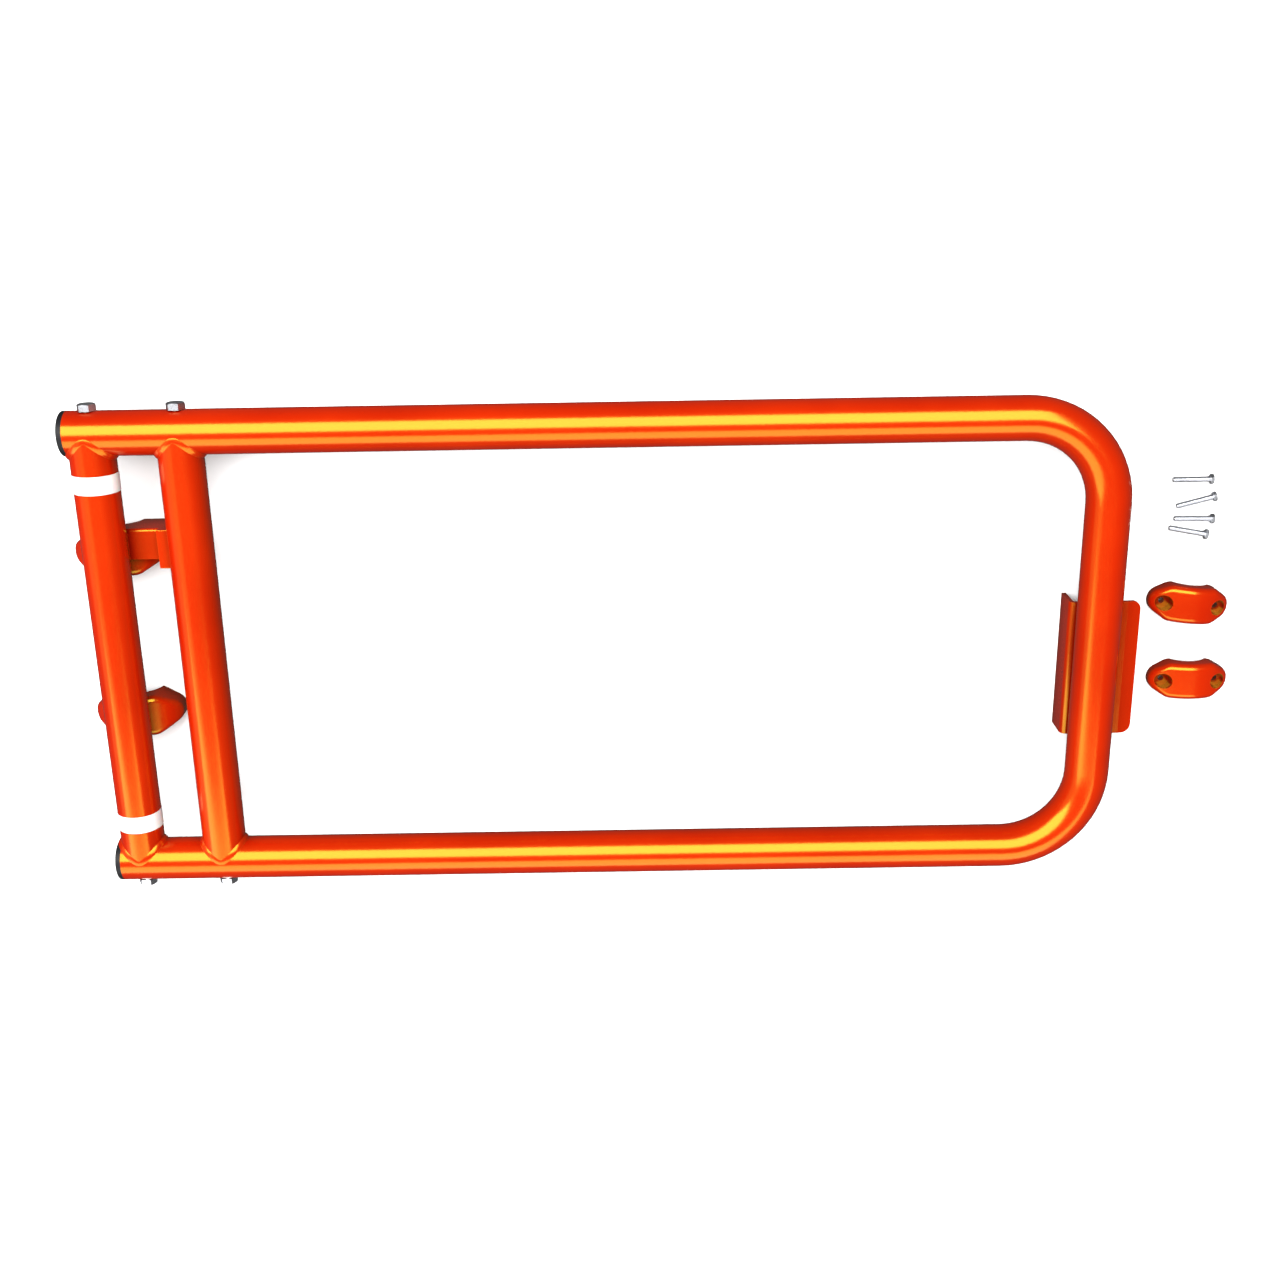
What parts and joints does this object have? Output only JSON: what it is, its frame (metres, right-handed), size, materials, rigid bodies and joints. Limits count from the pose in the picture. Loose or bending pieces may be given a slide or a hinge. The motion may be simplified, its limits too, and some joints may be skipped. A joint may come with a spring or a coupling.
{
  "type": "clamp-on self-closing pass gate leaf",
  "caption": "Round-tube swing gate leaf bent from one loop with a sprung clamp-on hinge barrel and a strike plate, lying flat beside its loose clamp caps and bolts.",
  "frame": {"origin": "on the axis of the post that the two saddles clamp, level with the leaf's mid-height", "axes": "+Y along the post and hinge axis towards the top rail, +X from the hinge to the latch end, +Z out of the leaf away from the post; z = 0 is the floor that the row lies on"},
  "size_m": [1.2984, 0.5598, 0.0866],
  "materials": {
    "powder_orange": "gloss powder coat",
    "cap_black": "satin moulded",
    "nylon_white": "natural nylon, turned",
    "zinc_plate": "bright zinc plate",
    "spring_steel": "oiled spring steel",
    "bare_steel": "turned bare steel"
  },
  "bodies": {
    "hinge_barrel": {"barrel_tube": "powder_orange", "spring_anchor": "bare_steel", "anchor_screw": "zinc_plate", "bushing_upper": "nylon_white", "bushing_lower": "nylon_white", "torsion_spring": "spring_steel", "saddle_upper": "powder_orange", "saddle_lower": "powder_orange", "stop_bracket": "powder_orange"},
    "gate_leaf": {"loop_tube": "powder_orange", "stile_tube": "powder_orange", "stile_plug_upper": "bare_steel", "stile_plug_lower": "bare_steel", "hinge_stub_upper": "powder_orange", "hinge_stub_lower": "powder_orange", "stub_plug_upper": "powder_orange", "stub_plug_lower": "powder_orange", "pivot_bolt_upper": "zinc_plate", "pivot_bolt_lower": "zinc_plate", "stile_bolt_upper": "zinc_plate", "stile_bolt_lower": "zinc_plate", "end_cap_upper": "cap_black", "end_cap_lower": "cap_black", "stop_lug": "powder_orange", "strike_plate": "powder_orange", "pivot_spindle": "bare_steel", "spring_driver": "bare_steel", "driver_pin": "bare_steel"},
    "clamp_cap_1": {"clamp_cap_1": "powder_orange"},
    "clamp_cap_2": {"clamp_cap_2": "powder_orange"},
    "clamp_bolt_1": {"clamp_bolt_1": "zinc_plate"},
    "clamp_bolt_2": {"clamp_bolt_2": "zinc_plate"},
    "clamp_bolt_3": {"clamp_bolt_3": "zinc_plate"},
    "clamp_bolt_4": {"clamp_bolt_4": "zinc_plate"}
  },
  "joints": [
    {"name": "leaf_swing", "type": "hinge", "parent": "hinge_barrel", "child": "gate_leaf", "pos_m": [0, 0, 0.062], "axis": [0, -1, 0], "range_deg": [0, 90], "stiffness_Nm_per_rad": 6, "springref_deg": -34.38},
    {"name": "clamp_cap_1_lift", "type": "slide", "parent": "hinge_barrel", "child": "clamp_cap_1", "axis": [0, 0, 1], "range_m": [0, 0.1]},
    {"name": "clamp_cap_2_lift", "type": "slide", "parent": "hinge_barrel", "child": "clamp_cap_2", "axis": [0, 0, 1], "range_m": [0, 0.1]},
    {"name": "clamp_bolt_1_lift", "type": "slide", "parent": "hinge_barrel", "child": "clamp_bolt_1", "axis": [0, 0, 1], "range_m": [0, 0.1]},
    {"name": "clamp_bolt_2_lift", "type": "slide", "parent": "hinge_barrel", "child": "clamp_bolt_2", "axis": [0, 0, 1], "range_m": [0, 0.1]},
    {"name": "clamp_bolt_3_lift", "type": "slide", "parent": "hinge_barrel", "child": "clamp_bolt_3", "axis": [0, 0, 1], "range_m": [0, 0.1]},
    {"name": "clamp_bolt_4_lift", "type": "slide", "parent": "hinge_barrel", "child": "clamp_bolt_4", "axis": [0, 0, 1], "range_m": [0, 0.1]}
  ]
}
